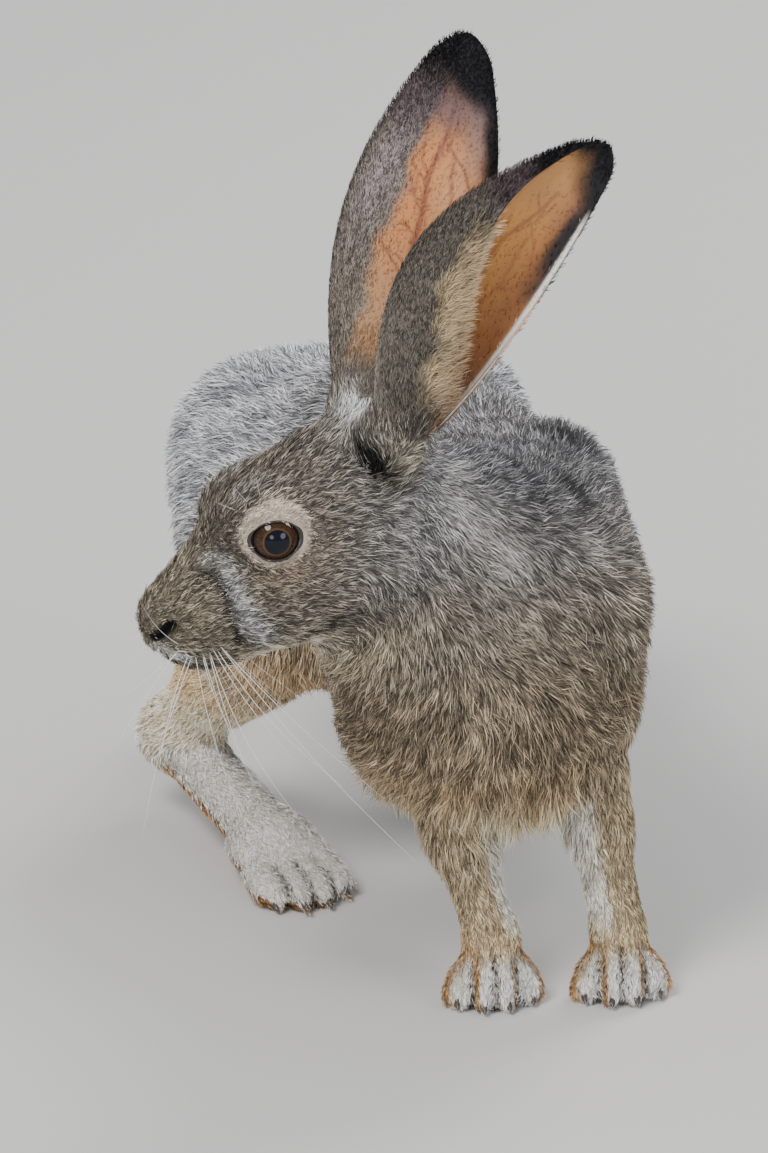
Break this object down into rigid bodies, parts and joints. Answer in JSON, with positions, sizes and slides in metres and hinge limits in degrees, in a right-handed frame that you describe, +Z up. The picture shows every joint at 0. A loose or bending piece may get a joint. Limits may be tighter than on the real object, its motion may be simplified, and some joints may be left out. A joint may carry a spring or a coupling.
{
  "type": "black-tailed jackrabbit, still life-size model",
  "caption": "Life-size still model of a long-eared hare, stepping on all fours with its head turned aside, resting on its own feet.",
  "frame": {"origin": "on the ground, under the middle of the model's box", "axes": "+Z up, -Y the way the chest faces, +X the hare's left"},
  "size_m": [0.1841, 0.3877, 0.3344],
  "materials": {
    "coat_brown": "short dense grizzled grey-brown fur",
    "coat_pale": "short cream to rusty fur",
    "coat_black": "black fur",
    "ear_skin": "thin veined skin under sparse short hair",
    "eye": "wet, glossy, brown iris and dark pupil",
    "claw": "smooth dark horn",
    "whisker": "smooth stiff white hair"
  },
  "bodies": {
    "root": {"head": "coat_brown", "neck": "coat_brown", "chest": "coat_brown", "hips": "coat_brown", "thigh_left": "coat_brown", "thigh_right": "coat_brown", "tail": "coat_black", "ear_left": "ear_skin", "ear_right": "ear_skin", "eye_left": "eye", "eye_right": "eye", "shin_left": "coat_pale", "shin_right": "coat_pale", "hindfoot_left": "coat_pale", "hindfoot_right": "coat_pale", "foreleg_left": "coat_pale", "foreleg_right": "coat_pale", "forepaw_left": "coat_pale", "forepaw_right": "coat_pale"}
  },
  "joints": []
}
